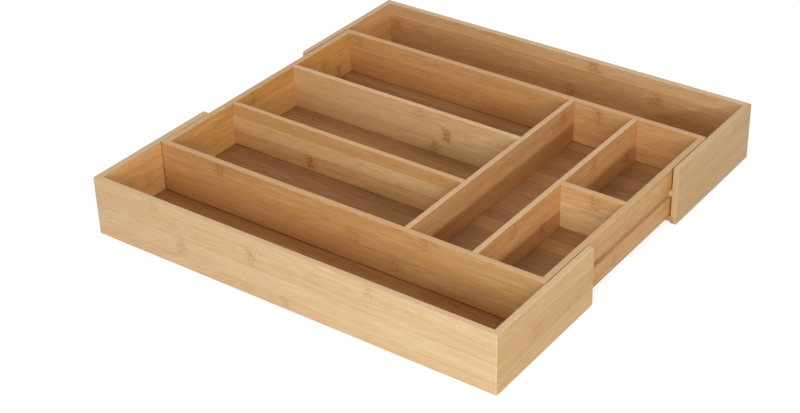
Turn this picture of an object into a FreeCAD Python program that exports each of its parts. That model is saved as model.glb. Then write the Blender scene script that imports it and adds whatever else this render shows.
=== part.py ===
import FreeCAD, Part
import Sketcher
import os

# Expandable bamboo cutlery tray, modelled pulled out to its full width.
# A centre tray with six compartments runs on tongues between two three-sided outer trays, each with a
# floor. X runs along the front wall, Y from front to back and Z up, from the middle of the underside.
# All sizes are in millimetres.

driving_sizes = {
    "trayLength": 475,       # outside, along the front wall
    "closedWidth": 330,      # outside, front to back, pushed together
    "pullOut": 82.5,         # travel of each outer tray, from pushed together to pulled out
    "trayHeight": 65,
    "frameThick": 7,         # boards of the walls and arms
    "dividerThick": 6,
    "floorThick": 6,
    "floorLift": 2,          # outer floors above the table
    "floorGap": 1,           # outer floors to the underside of the centre tray
    "floorSetback": 1,       # free edge of an outer floor behind the ends of its arms
    "sideGap": 0.5,          # arm to the end wall it slides along
    "closedGap": 0.5,        # outer wall to the centre tray, pushed together
    "meetGap": 0.5,          # between the ends of the front and back arms, pushed together
    "crossBay": 70,          # clear width of the long cross compartment
    "smallBay": 70,          # clear width of the two small compartments
    "grooveRise": 32,        # lower edge of the slide groove above the table
    "grooveHeight": 8,
    "grooveDepth": 3.5,
    "grooveEnd": 10,         # wood left past each end of the groove, the stop when pulled out
    "tongueFit": 0.3,        # play above and below the tongue
    "tongueTip": 0.5,        # play in front of the tongue
    "tongueSeat": 2,         # tongue let into its arm
    "stopGap": 0.2,          # tongue to the end of the groove, pulled out
    "floorHousing": 3.5,     # outer floors let into their walls and arms
    "floorRebate": 3.5,      # centre floor let into the walls round it
    "dividerHousing": 1.5,   # dividers let into the walls and dividers that they meet
    "housingFit": 0.1,       # play of a board in its housing
    "edgeRound": 1,          # eased long edges
    "cornerRound": 2,        # upright outer corners
    "armRound": 2.5,         # upper and lower corners at the free end of an arm
}

doc = FreeCAD.newDocument("cutlery_tray")
sheet = doc.addObject("Spreadsheet::Sheet", "dims")
for row, (alias, size) in enumerate(driving_sizes.items(), start=1):
    sheet.set(f"A{row}", alias)
    sheet.set(f"B{row}", str(size))
    sheet.setAlias(f"B{row}", alias)
doc.recompute()

# Expressions that several pieces share
frame = "dims.frameThick"
divider = "dims.dividerThick"
floor = "dims.floorThick"
centre_base = f"(dims.floorLift + {floor} + dims.floorGap)"
centre_high = f"(dims.trayHeight - {centre_base})"
centre_length = f"(dims.trayLength - 2 * {frame} - 2 * dims.sideGap)"
centre_width = f"(dims.closedWidth - 2 * {frame} - 2 * dims.closedGap)"
inner_length = f"({centre_length} - 2 * {frame})"
inner_width = f"({centre_width} - 2 * {frame})"
divider_high = f"({centre_high} - {floor})"
let_in = "(dims.dividerHousing - dims.housingFit)"
long_divider_place = f"(({inner_width} + {divider}) / 6)"
outer_cross_right = f"({inner_length} / 2 - dims.smallBay)"
inner_cross_right = f"({outer_cross_right} - {divider} - dims.crossBay)"
open_width = "(dims.closedWidth + 2 * dims.pullOut)"
arm_length = "((dims.closedWidth - dims.meetGap) / 2)"
arm_end = "(dims.pullOut + dims.meetGap / 2)"
groove_reach = f"({centre_width} / 2 - dims.grooveEnd)"
tongue_length = f"({groove_reach} - dims.stopGap - {arm_end})"
tongue_rise = "(dims.grooveRise + dims.tongueFit)"
tongue_high = "(dims.grooveHeight - 2 * dims.tongueFit)"

overcut = "1"                # how far a cut runs past the face that it opens
tolerance = 1e-3
sub_parts = []


def size_of(expression):
    return float(sheet.evalExpression(expression))


def draw_plan(body, name, corners, lift="0"):
    # A closed outline seen from above, with both coordinates of every corner bound to the sheet
    sketch = body.newObject("Sketcher::SketchObject", name)
    plane = next(item for item in body.Origin.OriginFeatures if item.Role == "XY_Plane")
    sketch.AttachmentSupport = (plane, "")
    sketch.MapMode = "FlatFace"
    sketch.setExpression("AttachmentOffset.Base.z", lift)
    points = [FreeCAD.Vector(size_of(x), size_of(y), 0) for x, y in corners]
    for point, following in zip(points, points[1:] + points[:1]):
        sketch.addGeometry(Part.LineSegment(point, following))
    for side, (x, y) in enumerate(corners):
        previous = (side - 1) % len(corners)
        sketch.addConstraint(Sketcher.Constraint("Coincident", previous, 2, side, 1))
        for kind, axis, place in (("DistanceX", -2, x), ("DistanceY", -1, y)):
            if place == "0":
                sketch.addConstraint(Sketcher.Constraint("PointOnObject", side, 1, axis))
            else:
                number = sketch.addConstraint(Sketcher.Constraint(kind, -1, 1, side, 1, size_of(place)))
                sketch.setExpression(f"Constraints[{number}]", place)
    return sketch


def board(label, length, thick, high, at, turn=0):
    # Length along X about the middle, thickness along Y from the outside face, height up from Z 0
    body = doc.addObject("PartDesign::Body", label)
    body.Label = label
    half = f"{length} / 2"
    corners = [(f"-{half}", "0"), (half, "0"), (half, thick), (f"-{half}", thick)]
    plan = draw_plan(body, f"{label}_plan", corners)
    blank = body.newObject("PartDesign::Pad", f"{label}_blank")
    blank.Profile = plan
    blank.setExpression("Length", high)
    body.Placement = FreeCAD.Placement(FreeCAD.Vector(), FreeCAD.Rotation(FreeCAD.Vector(0, 0, 1), turn))
    for axis, place in zip("xyz", at):
        body.setExpression(f"Placement.Base.{axis}", place)
    doc.recompute()
    sub_parts.append(body)
    return body


def cut(body, name, corners, base="0", high=None):
    # Takes the plan out of a board from base upwards, by high or through the top
    before = body.Shape.Volume
    plan = draw_plan(body, f"{body.Label}_{name}_plan", corners, base)
    pocket = body.newObject("PartDesign::Pocket", f"{body.Label}_{name}")
    pocket.Profile = plan
    pocket.Reversed = True
    if high is None:
        pocket.Type = "ThroughAll"
    else:
        pocket.setExpression("Length", high)
    doc.recompute()
    if body.Shape.Volume > before - tolerance:
        raise RuntimeError(f"{pocket.Label} cuts nothing")


def slot_inside(body, name, start, end, thick, depth, base, high=None):
    bottom, mouth = f"{thick} - {depth}", f"{thick} + {overcut}"
    cut(body, name, [(start, bottom), (end, bottom), (end, mouth), (start, mouth)], base, high)


def slot_outside(body, name, start, end, depth, base, high=None):
    mouth = f"-{overcut}"
    cut(body, name, [(start, mouth), (end, mouth), (end, depth), (start, depth)], base, high)


def mitre(body, name, length, end):
    # A 45 degree cut whose tip is on the outside face, at the end (1 or -1) of the board
    far = f"{end} * ({length} / 2 + {overcut})"
    near = f"{end} * ({length} / 2 - {frame} - {overcut})"
    back = f"{frame} + {overcut}"
    cut(body, name, [(far, f"-{overcut}"), (far, back), (near, back)])


def round_edges(body, name, radius, wanted):
    base = body.Tip
    chosen = [f"Edge{number}" for number, edge in enumerate(base.Shape.Edges, 1) if wanted(edge.BoundBox)]
    fillet = body.newObject("PartDesign::Fillet", f"{body.Label}_{name}")
    fillet.Base = (base, chosen)
    fillet.setExpression("Radius", radius)
    doc.recompute()


def runs_along(box, axis):
    spans = {"x": box.XLength, "y": box.YLength, "z": box.ZLength}
    return all((span > tolerance) == (name == axis) for name, span in spans.items())


def ease_long_edges(body, high, lower_edges=True):
    top = size_of(high)
    levels = [0, top] if lower_edges else [top]

    def wanted(box):
        return runs_along(box, "x") and any(abs(box.ZMin - level) < tolerance for level in levels)

    round_edges(body, "eased_edges", "dims.edgeRound", wanted)


def mitred_board(label, length, high, at, turn, mitred_ends):
    # A wall or arm whose mitred ends meet a neighbour in a rounded upright corner
    body = board(label, length, frame, high, at, turn)
    ends = [end * size_of(length) / 2 for end in mitred_ends]

    def wanted(box):
        at_an_end = any(abs(box.XMin - end) < tolerance for end in ends)
        return runs_along(box, "z") and at_an_end and abs(box.YMin) < tolerance

    round_edges(body, "outer_corners", "dims.cornerRound", wanted)
    for end in mitred_ends:
        mitre(body, "right_mitre" if end > 0 else "left_mitre", length, end)
    return body


def house_outer_floor(body, length):
    half = f"({length} / 2 + {overcut})"
    slot_inside(body, "floor_housing", f"-{half}", half, frame, "dims.floorHousing",
                "dims.floorLift", f"{floor} + dims.housingFit")


def outer_wall(label, at, turn):
    body = mitred_board(label, "dims.trayLength", "dims.trayHeight", at, turn, [-1, 1])
    ease_long_edges(body, "dims.trayHeight")
    house_outer_floor(body, "dims.trayLength")


def arm(label, at, turn, free_end):
    # free_end is 1 or -1, the end of the arm along its own X that no wall closes
    body = mitred_board(label, arm_length, "dims.trayHeight", at, turn, [-free_end])
    reach = free_end * size_of(arm_length) / 2

    def wanted(box):
        return runs_along(box, "y") and abs(box.XMin - reach) < tolerance

    round_edges(body, "free_end_corners", "dims.armRound", wanted)
    ease_long_edges(body, "dims.trayHeight")
    root = f"{free_end} * ({arm_length} / 2 - {tongue_length})"
    tip = f"{free_end} * ({arm_length} / 2 + {overcut})"
    slot_inside(body, "tongue_seat", root, tip, frame, "dims.tongueSeat", tongue_rise, tongue_high)
    house_outer_floor(body, arm_length)


def tongue(label, at, turn):
    # Glued into its arm, it runs in the groove of the end wall and stops at the groove's end
    thick = "(dims.tongueSeat + dims.sideGap + dims.grooveDepth - dims.tongueTip)"
    board(label, tongue_length, thick, tongue_high, at, turn)


def outer_tray(side, way):
    # way is -1 for the tray at the front and 1 for the one at the back
    half_turn = 0 if way < 0 else 180
    outer_wall(f"{side}_wall", ("0", f"{way} * {open_width} / 2", "0"), half_turn)

    arm_middle = f"{way} * ({arm_end} + {arm_length} / 2)"
    tongue_middle = f"{way} * ({arm_end} + {tongue_length} / 2)"
    for hand, across in (("left", -1), ("right", 1)):
        face = f"{across} * dims.trayLength / 2"
        seat = f"{across} * (dims.trayLength / 2 - {frame} + dims.tongueSeat)"
        arm(f"{side}_{hand}_arm", (face, arm_middle, "0"), 90 * across, -way * across)
        tongue(f"{side}_{hand}_tongue", (seat, tongue_middle, tongue_rise), 90 * across)

    gain = "(dims.floorHousing - dims.housingFit)"
    wide = f"(dims.trayLength - 2 * {frame} + 2 * {gain})"
    deep = f"({arm_length} - {frame} + {gain} - dims.floorSetback)"
    edge = f"{way} * ({open_width} / 2 - {frame} + {gain})"
    board(f"{side}_floor", wide, deep, floor, ("0", edge, "dims.floorLift"), half_turn)


def centre_wall(label, length, at, turn):
    body = mitred_board(label, length, centre_high, at, turn, [-1, 1])
    ease_long_edges(body, centre_high, lower_edges=False)
    half = f"({length} / 2 + {overcut})"
    slot_inside(body, "floor_rebate", f"-{half}", half, frame, "dims.floorRebate", "0", floor)
    return body


def divider_slot(place):
    # The span along a wall that takes the end of a divider
    half = f"({divider} + 2 * dims.housingFit) / 2"
    return f"{place} - {half}", f"{place} + {half}"


def centre_tray():
    for hand, across in (("left", -1), ("right", 1)):
        at = (f"{across} * {centre_length} / 2", "0", centre_base)
        wall = centre_wall(f"{hand}_end_wall", centre_width, at, 90 * across)
        slot_outside(wall, "slide_groove", f"-{groove_reach}", groove_reach, "dims.grooveDepth",
                     f"dims.grooveRise - {centre_base}", "dims.grooveHeight")
        places = [f"-{long_divider_place}", long_divider_place] if across < 0 else ["0"]
        for number, place in enumerate(places, start=1):
            span = divider_slot(place)
            slot_inside(wall, f"housing_{number}", *span, frame, "dims.dividerHousing", floor)

    cross_places = [f"({right} - {divider} / 2)" for right in (inner_cross_right, outer_cross_right)]
    for side, way in (("front", -1), ("back", 1)):
        at = ("0", f"{way} * {centre_width} / 2", centre_base)
        wall = centre_wall(f"{side}_side_wall", centre_length, at, 0 if way < 0 else 180)
        for number, place in enumerate(cross_places, start=1):
            span = divider_slot(f"{-way} * {place}")
            slot_inside(wall, f"housing_{number}", *span, frame, "dims.dividerHousing", floor)

    floor_gain = "(dims.floorRebate - dims.housingFit)"
    floor_deep = f"({inner_width} + 2 * {floor_gain})"
    board("centre_floor", f"({inner_length} + 2 * {floor_gain})", floor_deep, floor,
          ("0", f"-{floor_deep} / 2", centre_base))


def add_divider(label, length, at, turn=0):
    x, y = at
    body = board(label, length, divider, divider_high, (x, y, f"{centre_base} + {floor}"), turn)
    ease_long_edges(body, divider_high, lower_edges=False)
    return body


def dividers():
    # The two cross dividers stand between the side walls; the others end in them
    cross_length = f"({inner_width} + 2 * {let_in})"
    inner = add_divider("cross_divider_inner", cross_length, (inner_cross_right, "0"), 90)
    for number, way in enumerate(("-1", "1"), start=1):
        span = divider_slot(f"{way} * {long_divider_place}")
        slot_inside(inner, f"housing_{number}", *span, divider, "dims.dividerHousing", "0")
    outer = add_divider("cross_divider_outer", cross_length, (outer_cross_right, "0"), 90)
    slot_outside(outer, "housing", *divider_slot("0"), "dims.dividerHousing", "0")

    left = f"(-{inner_length} / 2)"
    right = f"({inner_cross_right} - {divider})"
    for side, way in (("front", "-1"), ("back", "1")):
        at = (f"({left} + {right}) / 2", f"{way} * {long_divider_place} - {divider} / 2")
        add_divider(f"long_divider_{side}", f"({right} - {left} + 2 * {let_in})", at)
    add_divider("short_divider", f"(dims.smallBay + 2 * {let_in})",
                (f"{outer_cross_right} + dims.smallBay / 2", f"-{divider} / 2"))


centre_tray()
dividers()
outer_tray("front", -1)
outer_tray("back", 1)
doc.recompute()

for item in doc.Objects:
    if "Invalid" in item.State or "Error" in item.State:
        raise RuntimeError(f"{item.Label} failed to build")
for body in sub_parts:
    if body.Shape.isNull() or not body.Shape.isValid() or len(body.Shape.Solids) != 1:
        raise RuntimeError(f"{body.Label} is not one valid solid")

os.makedirs("parts", exist_ok=True)
for body in sub_parts:
    body.Shape.exportStep(f"parts/{body.Label}.step")
    box = body.Shape.BoundBox
    print(f"{body.Label}: {box.XLength:.1f} x {box.YLength:.1f} x {box.ZLength:.1f} mm")
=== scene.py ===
import math

import bpy
from mathutils import Matrix

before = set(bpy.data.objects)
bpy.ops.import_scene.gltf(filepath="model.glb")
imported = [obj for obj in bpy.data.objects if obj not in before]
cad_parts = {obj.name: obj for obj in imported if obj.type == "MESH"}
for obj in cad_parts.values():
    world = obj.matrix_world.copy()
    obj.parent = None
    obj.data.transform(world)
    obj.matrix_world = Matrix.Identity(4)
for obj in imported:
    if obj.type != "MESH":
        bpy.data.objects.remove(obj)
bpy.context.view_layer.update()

print("frame loaded:", len(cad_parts), "boards and tongues")


# Node helpers

def paint(red, green, blue):  # a colour picked as 0 to 255, for a colour socket
    linear = []
    for level in (red, green, blue):
        share = level / 255
        linear.append(share / 12.92 if share <= 0.04045 else ((share + 0.055) / 1.055) ** 2.4)
    return (*linear, 1.0)


def feed(tree, socket, value):
    if isinstance(value, bpy.types.NodeSocket):
        tree.links.new(value, socket)
    else:
        socket.default_value = value


def mathStep(tree, operation, *values, clamp=False):
    node = tree.nodes.new("ShaderNodeMath")
    node.operation = operation
    node.use_clamp = clamp
    for socket, value in zip(node.inputs, values):
        feed(tree, socket, value)
    return node.outputs["Value"]


def product(tree, first, *others):
    for other in others:
        first = mathStep(tree, "MULTIPLY", first, other)
    return first


def centred(tree, value):  # a noise or a draw, moved to lie about zero
    return mathStep(tree, "SUBTRACT", value, 0.5)


def axes(tree, vector):
    node = tree.nodes.new("ShaderNodeSeparateXYZ")
    feed(tree, node.inputs["Vector"], vector)
    return node.outputs["X"], node.outputs["Y"], node.outputs["Z"]


def joinAxes(tree, x, y, z):
    node = tree.nodes.new("ShaderNodeCombineXYZ")
    for socket, value in zip(node.inputs, (x, y, z)):
        feed(tree, socket, value)
    return node.outputs["Vector"]


def remap(tree, value, low, high, toLow=0.0, toHigh=1.0, smooth=False):
    node = tree.nodes.new("ShaderNodeMapRange")
    node.interpolation_type = "SMOOTHSTEP" if smooth else "LINEAR"
    for name, given in zip(("Value", "From Min", "From Max", "To Min", "To Max"),
                           (value, low, high, toLow, toHigh)):
        feed(tree, node.inputs[name], given)
    return node.outputs["Result"]


def mixColour(tree, factor, first, second, blend="MIX"):
    node = tree.nodes.new("ShaderNodeMix")
    node.data_type = "RGBA"
    node.blend_type = blend
    feed(tree, node.inputs[0], factor)
    feed(tree, node.inputs[6], first)   # the node's colour sockets, by number: their names repeat
    feed(tree, node.inputs[7], second)
    return node.outputs[2]


def fibreNoise(tree, vector, stretch, detail=2.0, roughness=0.5):  # stretch: features a metre, each way
    stretched = tree.nodes.new("ShaderNodeVectorMath")
    stretched.operation = "MULTIPLY"
    feed(tree, stretched.inputs[0], vector)
    feed(tree, stretched.inputs[1], stretch)
    node = tree.nodes.new("ShaderNodeTexNoise")
    node.inputs["Scale"].default_value = 1.0
    node.inputs["Detail"].default_value = detail
    node.inputs["Roughness"].default_value = roughness
    feed(tree, node.inputs["Vector"], stretched.outputs["Vector"])
    return node.outputs[0]


def stripDraw(tree, number, seed):  # a random value for each strip of a board
    node = tree.nodes.new("ShaderNodeTexWhiteNoise")
    node.noise_dimensions = "2D"
    feed(tree, node.inputs["Vector"], joinAxes(tree, number, seed, 0.0))
    return node.outputs["Value"]


def newGroup(name, inputs, outputs):
    group = bpy.data.node_groups.new(name, "ShaderNodeTree")
    for label, kind, value in inputs:
        socket = group.interface.new_socket(label, in_out="INPUT", socket_type="NodeSocket" + kind)
        socket.default_value = value
    for label, kind in outputs:
        group.interface.new_socket(label, in_out="OUTPUT", socket_type="NodeSocket" + kind)
    given = group.nodes.new("NodeGroupInput").outputs
    wanted = group.nodes.new("NodeGroupOutput").inputs
    return group, given, wanted


def placeGroup(tree, group, values):
    node = tree.nodes.new("ShaderNodeGroup")
    node.node_tree = group
    for label, value in values.items():
        feed(tree, node.inputs[label], value)
    return node.outputs


# Bamboo

knuckleLook = {
    "stain": 0.0062,              # half width of the brown stain, along the strip
    "stainShare": 0.64,
    "ridges": (-0.0025, 0.0023),  # two darker ridges in the stain
    "ridge": 0.0019,
    "ridgeShare": 0.28,
    "wander": 0.0056,             # how far the stain wavers along the strip
    "waver": (90, 190, 190),
    "halfHeight": 0.010,          # how far up and down the strip it reaches
    "core": 0.55,                 # share of the half height that is stained fully
}


def makeKnuckleGroup(look):  # one knuckle of a cane, as a brown stain across one strip
    tree, given, wanted = newGroup(
        "bambooKnuckle",
        [("Vector", "Vector", (0, 0, 0)), ("Along", "Float", 0.0), ("Across", "Float", 0.0),
         ("Width", "Float", 1.0), ("Strength", "Float", 1.0), ("Before", "Float", 0.0)],
        [("Mask", "Float")])
    along, across = axes(tree, given["Vector"])[:2]
    waver = fibreNoise(tree, given["Vector"], look["waver"], detail=3.0)
    bend = product(tree, centred(tree, waver), look["wander"])
    offset = mathStep(tree, "ADD", mathStep(tree, "SUBTRACT", along, given["Along"]), bend)
    offset = mathStep(tree, "DIVIDE", offset, given["Width"])

    def bell(place, width, share):
        scaled = mathStep(tree, "DIVIDE", mathStep(tree, "SUBTRACT", offset, place), width)
        fall = product(tree, scaled, scaled, -1.0)
        return product(tree, mathStep(tree, "EXPONENT", fall), share)

    marks = bell(0.0, look["stain"], look["stainShare"])
    for place in look["ridges"]:
        marks = mathStep(tree, "ADD", marks, bell(place, look["ridge"], look["ridgeShare"]))
    rise = mathStep(tree, "ABSOLUTE", mathStep(tree, "SUBTRACT", across, given["Across"]))
    rise = mathStep(tree, "ADD", rise, bend)
    inStrip = remap(tree, rise, look["halfHeight"], look["halfHeight"] * look["core"], smooth=True)
    mark = product(tree, marks, inStrip, given["Strength"])
    feed(tree, wanted["Mask"], mathStep(tree, "MAXIMUM", mark, given["Before"]))
    return tree


boardLook = {                       # four numbers: from a noise's low and high to a low and a high share
    "slips": (9.0, 5.0),            # metres of cane between strips, by their depth and their warmth
    "warmthSeed": 31.0,             # keeps the draw of warmth apart from that of depth
    "wave": (9.0, 34, 34),          # slow bends of the fibres
    "waveBend": 0.0080,
    "drift": (4.5, 30, 30),         # slow change of tone over a board
    "driftShare": 0.85,
    "hueDrift": (11.0, 60, 60),     # redder and yellower patches
    "warmStrips": (0.3, 1.0),       # warmth at which a strip starts to blush, and is reddest
    "blushBase": 0.20,
    "stripBlush": 0.5,
    "driftBlush": 1.5,
    "streaks": (9.0, 170, 170),     # broad tone bands inside a strip
    "streakShare": 1.4,
    "fibres": (46.0, 500, 500),     # fine fibres
    "fibreShare": 2.1,
    "patches": (8.0, 55, 55),       # where the fibres show more or less
    "patchShares": (0.36, 0.64, 0.20, 1.65),
    "bundles": (70.0, 1300, 1300),  # short dark dashes, dots on a cut end
    "bundleSpan": (0.55, 0.72),
    "bundleShare": 0.20,
    "mottle": (340.0, 900, 900),    # flecks in a knuckle
    "fleckRise": 5.0,               # how soon they start at its border
    "fleckShare": 3.8,
    "specks": (0.53, 0.71, 0.0, 0.50),
    "knuckleBend": 0.0030,          # how far fibres swerve in a knuckle
    "stainBreaks": (0.35, 0.65, 0.44, 1.50),
    "stainDark": (0.45, 1.0, 0.0, 0.75),
    "seamSpan": (0.00012, 0.00060),  # from the middle of a joint between strips to clear wood
    "seamBreaks": (0.38, 0.68, 0.05, 0.50),
    "rimSpan": 0.0006,
    "rimShare": 0.8,
    "footLine": 0.0005,             # height of the dark joint with the floor panel, with painted shade of its gap
    "footSpan": 0.0010,             # and how far up it fades
    "footBreaks": (0.30, 0.60, 0.55, 1.0),
    "gloss": 0.42,
    "glossSpread": 0.16,
    "sandedDull": 0.22,             # rims and cut ends are less smooth
    "stainDull": 0.12,
    "sinks": (0.5, 1.5, 0.6),       # how far dashes, joints and stains lie below the fibres
}


def makeBambooGroup(look):  # strips glued edge to edge, fibres along X, strips side by side along Y
    tree, given, wanted = newGroup(
        "laminatedBamboo",
        [("Vector", "Vector", (0, 0, 0)), ("Strip Width", "Float", 0.0205), ("Seam", "Float", 0.0),
         ("Seed", "Float", 0.0), ("Pale", "Color", (1, 1, 1, 1)), ("Deep", "Color", (0.5, 0.5, 0.5, 1)),
         ("Blush", "Color", (1, 1, 1, 1)), ("Stain", "Color", (0.4, 0.2, 0.1, 1)),
         ("Dark", "Color", (0.2, 0.1, 0.05, 1)), ("Gap", "Color", (0.1, 0.05, 0.02, 1)),
         ("Rim", "Color", (1, 1, 1, 1)), ("Rim From", "Float", 1.0), ("End", "Float", 0.0),
         ("Foot", "Float", -1.0), ("Foot Share", "Float", 0.0), ("Gap Shade", "Float", 0.0),
         ("Strip Contrast", "Float", 0.5), ("Drift", "Float", 1.0), ("Shade Lean", "Float", 0.0),
         ("Grain", "Float", 1.0), ("Knuckles", "Float", 0.0)],
        [("Color", "Color"), ("Roughness", "Float"), ("Height", "Float")])
    along, across, through = axes(tree, given["Vector"])
    inStrips = mathStep(tree, "SUBTRACT", across, given["Seam"])
    inStrips = mathStep(tree, "DIVIDE", inStrips, given["Strip Width"])
    number = mathStep(tree, "FLOOR", inStrips)
    depth = stripDraw(tree, number, given["Seed"])
    warmth = stripDraw(tree, number, mathStep(tree, "ADD", given["Seed"], look["warmthSeed"]))

    # every strip comes from another stretch of cane, and its fibres swerve in a knuckle
    depthSlip, warmthSlip = look["slips"]
    slip = mathStep(tree, "MULTIPLY_ADD", depth, depthSlip, product(tree, warmth, warmthSlip))
    slid = mathStep(tree, "ADD", along, slip)
    mottle = fibreNoise(tree, given["Vector"], look["mottle"], detail=2.0, roughness=0.6)
    fleck = centred(tree, mottle)
    swerve = product(tree, fleck, look["knuckleBend"], given["Knuckles"])
    wave = fibreNoise(tree, joinAxes(tree, slid, across, through), look["wave"], detail=1.0)
    swerve = mathStep(tree, "MULTIPLY_ADD", centred(tree, wave), look["waveBend"], swerve)
    cane = joinAxes(tree, slid, mathStep(tree, "ADD", across, swerve), through)
    drift = centred(tree, fibreNoise(tree, cane, look["drift"], detail=1.0))
    drift = product(tree, drift, given["Drift"])
    hueDrift = centred(tree, fibreNoise(tree, cane, look["hueDrift"], detail=1.0))
    hueDrift = product(tree, hueDrift, given["Drift"])
    streak = fibreNoise(tree, cane, look["streaks"], detail=2.0)
    fibre = fibreNoise(tree, cane, look["fibres"], detail=3.0, roughness=0.62)
    bundle = remap(tree, fibreNoise(tree, cane, look["bundles"], detail=1.0), *look["bundleSpan"])
    patch = remap(tree, fibreNoise(tree, cane, look["patches"], detail=1.0), *look["patchShares"])

    # tone: strip and drift, then streaks and fibres, and the flecks in a knuckle
    stripShare = product(tree, centred(tree, depth), given["Strip Contrast"])
    stripShare = mathStep(tree, "MULTIPLY_ADD", drift, look["driftShare"], stripShare)
    streakShare = product(tree, centred(tree, streak), look["streakShare"])
    fibreShare = product(tree, centred(tree, fibre), look["fibreShare"], patch)
    grainShare = product(tree, mathStep(tree, "ADD", streakShare, fibreShare), given["Grain"])
    inKnuckle = mathStep(tree, "MULTIPLY", given["Knuckles"], look["fleckRise"], clamp=True)
    fleckShare = product(tree, fleck, inKnuckle, look["fleckShare"])
    share = mathStep(tree, "ADD", mathStep(tree, "ADD", stripShare, grainShare), fleckShare)
    share = mathStep(tree, "ADD", share, 0.5, clamp=True)
    colour = mixColour(tree, share, given["Pale"], given["Deep"])
    blushShare = product(tree, remap(tree, warmth, *look["warmStrips"]), given["Strip Contrast"])
    blushShare = mathStep(tree, "MULTIPLY_ADD", blushShare, look["stripBlush"], look["blushBase"])
    # painted shade: the lean makes a board redder towards its left end, standing in for warm shade there and
    # the whiter key light at the right
    blushShare = mathStep(tree, "MULTIPLY_ADD", along, given["Shade Lean"], blushShare)
    blushShare = mathStep(tree, "MULTIPLY_ADD", hueDrift, look["driftBlush"], blushShare, clamp=True)
    colour = mixColour(tree, blushShare, colour, given["Blush"], "MULTIPLY")
    bundleShare = product(tree, bundle, given["Grain"], look["bundleShare"])
    speck = product(tree, remap(tree, mottle, *look["specks"]), inKnuckle)
    colour = mixColour(tree, mathStep(tree, "ADD", bundleShare, speck), colour, given["Dark"])

    # joints between strips, darker in places
    cell = mathStep(tree, "SUBTRACT", inStrips, mathStep(tree, "ROUND", inStrips))
    toSeam = product(tree, mathStep(tree, "ABSOLUTE", cell), given["Strip Width"])
    seam = remap(tree, toSeam, *look["seamSpan"], 1.0, 0.0, smooth=True)
    seamShare = product(tree, seam, remap(tree, streak, *look["seamBreaks"]))
    colour = mixColour(tree, seamShare, colour, given["Dark"])

    # knuckles: a stain, broken up by flecks, and dark where it is strongest
    broken = remap(tree, mottle, *look["stainBreaks"])
    stainShare = mathStep(tree, "MULTIPLY", given["Knuckles"], broken, clamp=True)
    colour = mixColour(tree, stainShare, colour, given["Stain"])
    colour = mixColour(tree, remap(tree, stainShare, *look["stainDark"]), colour, given["Dark"])

    # the sanded rim and cut ends, with the slide groove painted paler as painted light; the dark joint with
    # the floor panel, with painted shade of its gap; and painted shade on an arm's rim beside the end wall
    rimTo = mathStep(tree, "ADD", given["Rim From"], look["rimSpan"])
    rim = remap(tree, across, given["Rim From"], rimTo, 0.0, look["rimShare"], smooth=True)
    sandedAndGrooveLight = mathStep(tree, "MAXIMUM", rim, given["End"])
    colour = mixColour(tree, sandedAndGrooveLight, colour, given["Rim"])
    # the foot line: a dark joint with the floor panel, partly painted shade of the gap there
    footFrom = mathStep(tree, "ADD", given["Foot"], look["footLine"])
    footTo = mathStep(tree, "ADD", given["Foot"], look["footSpan"])
    foot = remap(tree, across, footFrom, footTo, 1.0, 0.0)
    footShare = product(tree, foot, given["Foot Share"], remap(tree, streak, *look["footBreaks"]))
    gapShare = mathStep(tree, "MAXIMUM", footShare, given["Gap Shade"])
    feed(tree, wanted["Color"], mixColour(tree, gapShare, colour, given["Gap"]))

    # gloss and relief
    smoothest = look["gloss"] - look["glossSpread"] / 2
    rough = mathStep(tree, "MULTIPLY_ADD", fibre, look["glossSpread"], smoothest)
    rough = mathStep(tree, "MULTIPLY_ADD", sandedAndGrooveLight, look["sandedDull"], rough)
    rough = mathStep(tree, "MULTIPLY_ADD", stainShare, look["stainDull"], rough, clamp=True)
    feed(tree, wanted["Roughness"], rough)
    height = fibre
    for mark, sink in zip((bundle, seam, stainShare), look["sinks"]):
        height = mathStep(tree, "MULTIPLY_ADD", mark, -sink, height)
    feed(tree, wanted["Height"], height)
    return tree


knuckleGroup = makeKnuckleGroup(knuckleLook)
bambooGroup = makeBambooGroup(boardLook)

toneShifts = {                                      # what a board's tone is multiplied by
    "Pale": (1.07, 1.115, 1.20),
    "Deep": (0.93, 0.87, 0.775),
    "Stain": (0.76, 0.51, 0.33),
    "Dark": (0.46, 0.29, 0.18),
    # Gap is the colour of painted shade, for the foot line and beside the end walls
    "Gap": (0.22, 0.105, 0.05),
}
paleShifts = {**toneShifts, "Stain": (0.84, 0.60, 0.50)}   # pinker stains on the palest board
floorShifts = {                                     # the panel's strips differ more in depth than in hue
    **toneShifts,
    "Pale": (1.15, 1.17, 1.10),
    "Deep": (0.85, 0.83, 0.89),
}
finish = {
    "blush": (0.98, 0.84, 0.73, 1.0),   # tint of the redder strips
    "specular": 0.28,
    "coat": 0.06,
    "coatRoughness": 0.34,
    "relief": 0.00012,
    "reliefStrength": 0.20,
    "stripWidth": 0.0195,
    "rimFrom": 0.0641,                  # height at which the rounded rim starts
    "floorTop": 0.0150,                 # top of the centre floor
    # the slide groove's inside is painted paler, as painted light lifting the shade in it
    "grooveMouth": (0.2296, 0.2290),    # from the face into the slide groove
    "grooveFloor": (0.2238, 0.2246),    # from the wood behind the groove into it
    "grooveLevel": 0.0360,              # its mid height
    "grooveHalf": (0.0046, 0.0042),     # from its edge inwards, up and down
    "grooveShare": 0.62,
    "gapShadeSpan": (0.2315, 0.2311),      # painted shade of the gap, from clear to dark, towards the end wall
    "gapShadeEnd": (0.1575, 0.1570),
    "endSpan": 0.0006,
    "endShare": 0.75,
}


def shifted(tone, shift):
    return (*(min(1.0, part * share) for part, share in zip(tone, shift)), 1.0)


def fromMiddle(tree, place, axis):  # distance from the tray's middle along one axis
    return mathStep(tree, "ABSOLUTE", axes(tree, place)["XYZ".index(axis)])


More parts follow.
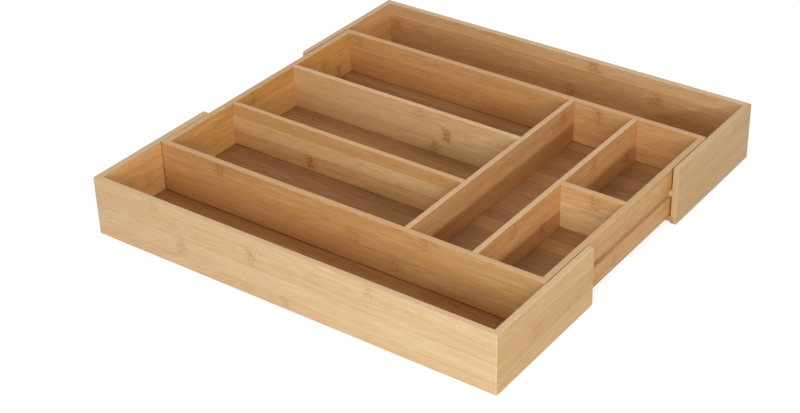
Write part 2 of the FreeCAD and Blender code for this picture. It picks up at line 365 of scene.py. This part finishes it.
# painted light: mask of the slide groove, where it is painted paler to lift its shade
def inGroove(tree, place):
    aside = fromMiddle(tree, place, "X")
    level = mathStep(tree, "SUBTRACT", axes(tree, place)[2], finish["grooveLevel"])
    level = mathStep(tree, "ABSOLUTE", level)
    past = remap(tree, aside, *finish["grooveMouth"])
    before = remap(tree, aside, *finish["grooveFloor"])
    between = remap(tree, level, *finish["grooveHalf"], 0.0, finish["grooveShare"])
    return product(tree, past, before, between)


# painted shade: darkens an arm's rim where it passes the end wall, standing in for the shade in the gap
# between them
def shadeBesideEndWall(tree, place, share):
    beside = remap(tree, fromMiddle(tree, place, "X"), *finish["gapShadeSpan"], 0.0, share)
    return product(tree, beside, remap(tree, fromMiddle(tree, place, "Y"), *finish["gapShadeEnd"]))


def dressBoard(name, look):
    material = bpy.data.materials.new(name + "_bamboo")
    material.use_nodes = True
    tree = material.node_tree
    place = tree.nodes.new("ShaderNodeTexCoord").outputs["Object"]
    turn = tree.nodes.new("ShaderNodeMapping")
    turn.inputs["Rotation"].default_value = look["grain"]
    feed(tree, turn.inputs["Vector"], place)
    board = turn.outputs["Vector"]
    mask = 0.0
    for along, across, strength in look["knuckles"]:
        mask = placeGroup(tree, knuckleGroup, {
            "Vector": board, "Along": along, "Across": across, "Strength": strength,
            "Width": look.get("knuckleWidth", 1.0), "Before": mask})["Mask"]
    values = {
        "Vector": board, "Knuckles": mask, "Seed": look["seed"], "Seam": look["seam"],
        "Strip Width": look.get("stripWidth", finish["stripWidth"]), "Strip Contrast": look["contrast"],
        # the lean is painted shade: one end of a board is redder
        "Drift": look.get("drift", 1.0), "Shade Lean": look.get("shadeLean", 0.0), "Grain": look["grainShare"],
        "Blush": look.get("blush", finish["blush"])}
    for label, shift in look.get("shifts", toneShifts).items():
        values[label] = shifted(look["tone"], shift)
    if "rim" in look:
        values["Rim"] = look["rim"]
        values["Rim From"] = finish["rimFrom"]
    if "edge" in look:                                  # a floor panel has no rim, only a sanded edge
        values["Rim"] = look["edge"]
    # the foot line is a dark joint, and painted shade of the gap between board and floor panel
    if "foot" in look:
        values["Foot"] = look.get("footAt", finish["floorTop"])
        values["Foot Share"] = look["foot"]
    if "inside" in look:                                # the dark joint is on the inner face alone
        axis, outer, inner = look["inside"]
        within = remap(tree, fromMiddle(tree, place, axis), outer, inner)
        values["Foot Share"] = product(tree, within, look["foot"])
    if look.get("groove"):                              # painted light: the milled groove is painted paler than the face, lifting the shade inside it
        values["End"] = inGroove(tree, place)
    if look.get("gapShade"):                               # painted shade: an arm's rim is painted dark where it passes the end wall
        values["Gap Shade"] = shadeBesideEndWall(tree, place, look["gapShade"])
    if "end" in look:                                   # the sanded free end of an arm or a floor
        away = fromMiddle(tree, place, "Y")
        clear = look["end"] + finish["endSpan"]
        values["End"] = remap(tree, away, clear, look["end"], 0.0, finish["endShare"])
    bamboo = placeGroup(tree, bambooGroup, values)
    shader = tree.nodes["Principled BSDF"]
    feed(tree, shader.inputs["Base Color"], bamboo["Color"])
    feed(tree, shader.inputs["Roughness"], bamboo["Roughness"])
    bump = tree.nodes.new("ShaderNodeBump")
    bump.inputs["Strength"].default_value = finish["reliefStrength"]
    bump.inputs["Distance"].default_value = finish["relief"]
    feed(tree, bump.inputs["Height"], bamboo["Height"])
    feed(tree, shader.inputs["Normal"], bump.outputs["Normal"])
    shader.inputs["Specular IOR Level"].default_value = finish["specular"]
    shader.inputs["Coat Weight"].default_value = finish["coat"]
    shader.inputs["Coat Roughness"].default_value = finish["coatRoughness"]
    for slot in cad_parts[name].material_slots:
        slot.material = material


# What boards of one kind share

alongX = (math.radians(-90), 0, 0)                      # board upright, fibres along X
alongY = (0, math.radians(-90), math.radians(-90))      # board upright, fibres along Y
flat = (0, 0, 0)                                        # floor panel, fibres along X
outerFloorTop = 0.008
outerWall = {"grain": alongX, "foot": 0.7, "footAt": outerFloorTop, "inside": ("Y", 0.2445, 0.2430)}
arm = {"grain": alongY, "foot": 0.7, "footAt": outerFloorTop, "inside": ("X", 0.2345, 0.2330), "end": 0.0828}
sideWall = {"grain": alongX, "grainShare": 1.25, "inside": ("Y", 0.1545, 0.1530)}
endWall = {"grain": alongY, "inside": ("X", 0.2270, 0.2255), "groove": True}
floorPanel = {
    "grain": flat, "stripWidth": 0.0204, "grainShare": 1.4, "drift": 0.4,
    "blush": (0.99, 0.95, 0.97, 1.0), "shifts": floorShifts,
}
outerFloor = {
    **floorPanel, "tone": paint(162, 116, 68), "contrast": 0.8,
    "edge": paint(212, 172, 128), "end": 0.0838,
}
tongue = {"knuckles": [], "gapShade": 0.0}


# Front tray: seam is where one joint between strips lies, knuckles are along, across and strength

frontWall = {
    **outerWall, "tone": paint(215, 187, 144), "rim": paint(210, 179, 141), "shifts": paleShifts,
    "seam": 0.0127, "stripWidth": 0.0207, "seed": 467,
    "contrast": 0.6, "shadeLean": -0.4, "drift": 0.6, "grainShare": 0.85,
    "knuckleWidth": 0.95,
    "knuckles": [(-0.1585, 0.0585, 0.30), (-0.0375, 0.0435, 0.58), (-0.1248, 0.0240, 0.59),
                 (0.1002, 0.0590, 0.42), (0.0018, 0.0060, 0.28)],
}
dressBoard("front_wall", frontWall)

frontRightArm = {
    **arm, "tone": paint(194, 162, 110), "rim": paint(212, 183, 143),
    "seam": 0.0200, "stripWidth": 0.0245, "seed": 5401,
    "contrast": 0.6, "grainShare": 0.9, "gapShade": 0.62,
    "knuckleWidth": 1.3,
    "knuckles": [(-0.1825, 0.0313, 0.34)],
}
dressBoard("front_right_arm", frontRightArm)

frontLeftArm = {
    **arm, "tone": paint(218, 177, 114), "rim": paint(200, 177, 142),
    "seam": 0.0250, "seed": 1896,
    "contrast": 0.5, "grainShare": 1.2, "foot": 1.0,
    "knuckles": [(-0.1786, 0.0290, 0.30), (-0.2070, 0.0400, 0.20)],
}
dressBoard("front_left_arm", frontLeftArm)

frontFloor = {
    **outerFloor, "seam": 0.0060, "seed": 11,
    "knuckles": [(-0.168, -0.157, 0.30), (0.047, -0.116, 0.34), (0.196, -0.137, 0.28)],
}
dressBoard("front_floor", frontFloor)
dressBoard("front_left_tongue", {**frontLeftArm, **tongue, "seed": 14})
dressBoard("front_right_tongue", {**frontRightArm, **tongue, "seed": 15})
print("front tray dressed")


# Back tray

backWall = {
    **outerWall, "tone": paint(213, 177, 129), "rim": paint(206, 185, 154),
    "seam": 0.0110, "seed": 1528,
    "contrast": 0.7, "shadeLean": -0.8, "grainShare": 1.25,
    "knuckleWidth": 1.4,
    "knuckles": [(-0.2233, 0.0410, 0.56), (0.0493, 0.0580, 0.56), (0.1283, 0.0400, 0.61),
                 (0.0200, 0.0213, 0.64)],
}
dressBoard("back_wall", backWall)

backRightArm = {
    **arm, "tone": paint(187, 153, 102), "rim": paint(208, 179, 141),
    "seam": 0.0060, "seed": 3907,
    "contrast": 0.35, "grainShare": 0.6, "gapShade": 1.0,
    "knuckles": [],
}
dressBoard("back_right_arm", backRightArm)

backLeftArm = {
    **arm, "tone": paint(215, 171, 115), "rim": paint(203, 181, 150),
    "seam": 0.0040, "seed": 4980,
    "contrast": 0.7, "grainShare": 1.4, "gapShade": 0.46,
    "knuckles": [],
}
dressBoard("back_left_arm", backLeftArm)

backFloor = {
    **outerFloor, "seam": 0.0110, "seed": 30,
    "knuckles": [(-0.112, 0.143, 0.32), (0.084, 0.184, 0.30), (0.172, 0.123, 0.34)],
}
dressBoard("back_floor", backFloor)
dressBoard("back_left_tongue", {**backLeftArm, **tongue, "seed": 33})
dressBoard("back_right_tongue", {**backRightArm, **tongue, "seed": 34})
print("back tray dressed")


# Centre tray

frontSideWall = {
    **sideWall, "tone": paint(213, 172, 116), "rim": paint(198, 163, 121),
    "seam": 0.0110, "stripWidth": 0.0190, "seed": 83,
    "contrast": 0.6, "shadeLean": -2.0, "foot": 0.5,
    "knuckleWidth": 1.35,
    "knuckles": [(-0.1527, 0.0575, 0.58), (0.0150, 0.0395, 0.31), (0.0967, 0.0575, 0.30),
                 (0.0617, 0.0210, 0.28)],
}
dressBoard("front_side_wall", frontSideWall)

backSideWall = {
    **sideWall, "tone": paint(209, 164, 109), "rim": paint(201, 163, 122),
    "seam": 0.0060, "seed": 2227,
    "contrast": 0.5, "shadeLean": -1.8, "foot": 0.9,
    "knuckles": [(-0.2117, 0.0550, 0.40), (0.1067, 0.0550, 0.59)],
}
dressBoard("back_side_wall", backSideWall)

leftEndWall = {
    **endWall, "tone": paint(210, 162, 98), "rim": paint(200, 168, 127),
    "seam": 0.0100, "seed": 3129,
    "contrast": 0.8, "grainShare": 1.4, "foot": 0.8,
    "knuckles": [(-0.0200, 0.0570, 0.62), (0.1017, 0.0420, 0.48), (0.1280, 0.0240, 0.72)],
}
dressBoard("left_end_wall", leftEndWall)

rightEndWall = {
    **endWall, "tone": paint(188, 147, 86), "rim": paint(205, 170, 130),
    "seam": 0.0110, "seed": 2505,
    "contrast": 0.7, "grainShare": 2.0, "foot": 0.7,
    "knuckles": [(-0.0050, 0.0400, 0.30), (-0.0300, 0.0200, 0.30)],
}
dressBoard("right_end_wall", rightEndWall)

longDividerFront = {
    "grain": alongX, "tone": paint(216, 183, 130), "rim": paint(206, 168, 125),
    "seam": 0.0167, "stripWidth": 0.0173, "seed": 12741,
    "contrast": 1.3, "shadeLean": -1.2, "grainShare": 1.5, "foot": 1.0,
    "knuckles": [(-0.1207, 0.0254, 0.96)],
}
dressBoard("long_divider_front", longDividerFront)

longDividerBack = {
    "grain": alongX, "tone": paint(218, 186, 137), "rim": paint(211, 177, 138),
    "seam": 0.0120, "stripWidth": 0.0190, "seed": 4797,
    "contrast": 0.8, "shadeLean": -0.9, "grainShare": 1.1, "foot": 0.5,
    "knuckles": [(-0.0183, 0.0410, 0.93), (-0.0327, 0.0215, 0.66), (-0.0517, 0.0585, 0.28)],
}
dressBoard("long_divider_back", longDividerBack)

# its seam lies at the side lamp's shadow edge, 37 mm up, and the strips below it are drawn deep and red:
# wood tone, and also painted shade that reddens the shade there
crossDividerInner = {
    "grain": alongY, "tone": paint(198, 155, 103), "rim": paint(211, 176, 137),
    "seam": 0.0175, "seed": 15096,
    "contrast": 1.3, "grainShare": 1.3, "foot": 0.2,
    "knuckles": [(0.1280, 0.0540, 0.58)],
}
dressBoard("cross_divider_inner", crossDividerInner)

crossDividerOuter = {
    "grain": alongY, "tone": paint(212, 165, 109), "rim": paint(210, 179, 139),
    "seam": 0.0190, "seed": 590,
    "contrast": 0.8, "grainShare": 1.4, "foot": 0.35,
    "knuckles": [(-0.0890, 0.0550, 0.41), (0.0623, 0.0550, 0.34), (-0.0367, 0.0290, 0.62),
                 (0.1317, 0.0307, 0.52)],
}
dressBoard("cross_divider_outer", crossDividerOuter)

shortDivider = {
    "grain": alongX, "tone": paint(223, 190, 138), "rim": paint(199, 159, 116),
    "seam": 0.0060, "seed": 3929,
    "contrast": 0.6, "grainShare": 1.6, "foot": 0.55,
    "knuckles": [(0.1910, 0.0545, 0.50)],
}
dressBoard("short_divider", shortDivider)

centreFloor = {
    **floorPanel, "tone": paint(158, 117, 76), "contrast": 1.4, "seam": 0.0136, "seed": 2438,
    "knuckles": [(-0.080, 0.026, 0.34), (-0.176, -0.119, 0.30), (0.022, 0.085, 0.30),
                 (-0.142, 0.126, 0.28), (0.061, -0.017, 0.28)],
}
dressBoard("centre_floor", centreFloor)
print("centre tray dressed")


# Floor, light and camera

def seenDirectly(tree):  # one for camera, glossy and transmission rays
    path = tree.nodes.new("ShaderNodeLightPath")
    seen = mathStep(tree, "MAXIMUM", path.outputs["Is Camera Ray"], path.outputs["Is Glossy Ray"])
    return mathStep(tree, "MAXIMUM", seen, path.outputs["Is Transmission Ray"])


studioFloor = {
    "size": 24.0,
    "level": -0.0002,                    # just under the tray's lower edges
    "pale": (0.86, 0.86, 0.86, 1.0),     # what bounces light back up
    "shadowShare": (0.26, 0.26, 0.26, 1.0),
    "white": 0.84,
    "shadowReach": (0.42, 0.95),         # plain white further from the tray than this
}


def makeFloor(look):
    bpy.ops.mesh.primitive_plane_add(size=look["size"], location=(0, 0, look["level"]))
    floor = bpy.context.object
    floor.name = "studio_floor"
    material = bpy.data.materials.new("studio_floor")
    material.use_nodes = True
    tree = material.node_tree
    tree.nodes.remove(tree.nodes["Principled BSDF"])
    plain = tree.nodes.new("ShaderNodeBsdfDiffuse")
    plain.inputs["Color"].default_value = look["pale"]
    shaded = tree.nodes.new("ShaderNodeBsdfDiffuse")
    shaded.inputs["Color"].default_value = look["shadowShare"]
    glow = tree.nodes.new("ShaderNodeEmission")
    glow.inputs["Strength"].default_value = look["white"]
    shown = tree.nodes.new("ShaderNodeAddShader")
    feed(tree, shown.inputs[0], shaded.outputs["BSDF"])
    feed(tree, shown.inputs[1], glow.outputs["Emission"])
    white = tree.nodes.new("ShaderNodeEmission")
    place = tree.nodes.new("ShaderNodeTexCoord")
    distance = tree.nodes.new("ShaderNodeVectorMath")
    distance.operation = "LENGTH"
    feed(tree, distance.inputs[0], place.outputs["Object"])
    fade = tree.nodes.new("ShaderNodeMixShader")
    feed(tree, fade.inputs["Fac"], remap(tree, distance.outputs["Value"], *look["shadowReach"], smooth=True))
    feed(tree, fade.inputs[1], shown.outputs["Shader"])
    feed(tree, fade.inputs[2], white.outputs["Emission"])
    choice = tree.nodes.new("ShaderNodeMixShader")
    feed(tree, choice.inputs["Fac"], seenDirectly(tree))
    feed(tree, choice.inputs[1], plain.outputs["BSDF"])
    feed(tree, choice.inputs[2], fade.outputs["Shader"])
    feed(tree, tree.nodes["Material Output"].inputs["Surface"], choice.outputs["Shader"])
    floor.data.materials.append(material)


makeFloor(studioFloor)

studioWorld = {"fill": (1.0, 0.88, 0.79, 1.0), "fillStrength": 0.35, "seen": (1.0, 1.0, 1.0, 1.0)}


def makeWorld(look):
    world = bpy.data.worlds.new("studio")
    world.use_nodes = True
    tree = world.node_tree
    fill = tree.nodes["Background"]
    fill.inputs["Color"].default_value = look["fill"]
    fill.inputs["Strength"].default_value = look["fillStrength"]
    white = tree.nodes.new("ShaderNodeBackground")
    white.inputs["Color"].default_value = look["seen"]
    choice = tree.nodes.new("ShaderNodeMixShader")
    feed(tree, choice.inputs["Fac"], seenDirectly(tree))
    feed(tree, choice.inputs[1], fill.outputs["Background"])
    feed(tree, choice.inputs[2], white.outputs["Background"])
    feed(tree, tree.nodes["World Output"].inputs["Surface"], choice.outputs["Shader"])
    bpy.context.scene.world = world


makeWorld(studioWorld)

lamps = {
    "key_lamp": {"place": (0.62, -1.42, 0.58), "size": 0.50, "power": 11.0, "colour": (1.0, 1.0, 1.0)},
    "side_lamp": {"place": (1.52, -0.42, 0.60), "size": 0.10, "power": 6.2, "colour": (1.0, 1.0, 1.0)},
    "top_lamp": {"place": (0.0, -0.1, 1.9), "size": 1.5, "power": 10.0, "colour": (0.94, 0.98, 1.0)},
    "back_lamp": {"place": (0.70, 1.50, 0.77), "size": 0.80, "power": 4.0, "colour": (1.0, 1.0, 1.0)},
    "left_lamp": {"place": (-1.65, 0.15, 0.75), "size": 0.80, "power": 4.0, "colour": (1.0, 1.0, 1.0)},
}


def makeLamp(name, look):  # a square soft box, turned to the tray
    light = bpy.data.lights.new(name, "AREA")
    light.size = look["size"]
    light.energy = look["power"]
    light.color = look["colour"]
    lamp = bpy.data.objects.new(name, light)
    lamp.location = look["place"]
    lamp.rotation_euler = lamp.location.to_track_quat("Z", "Y").to_euler()
    bpy.context.scene.collection.objects.link(lamp)


for lampName, lampLook in lamps.items():
    makeLamp(lampName, lampLook)

view = {
    "place": (0.8665, -1.2241, 0.9177),
    "azimuth": 34.223,
    "elevation": 30.550,
    "roll": -0.403,
    "lens": 76.04,
    "sensor": 36.0,
    "shift": (-0.0770, -0.0502),
}


def makeCamera(look):
    camera = bpy.data.objects.new("camera", bpy.data.cameras.new("camera"))
    camera.data.lens = look["lens"]
    camera.data.sensor_width = look["sensor"]
    camera.data.shift_x, camera.data.shift_y = look["shift"]
    swing = Matrix.Rotation(math.radians(look["azimuth"]), 4, "Z")
    tilt = Matrix.Rotation(math.radians(90 - look["elevation"]), 4, "X")
    roll = Matrix.Rotation(math.radians(look["roll"]), 4, "Z")
    camera.matrix_world = Matrix.Translation(look["place"]) @ swing @ tilt @ roll
    bpy.context.scene.collection.objects.link(camera)
    bpy.context.scene.camera = camera


makeCamera(view)
bpy.context.scene.view_settings.view_transform = "Standard"
print("stage, lamps and camera set")
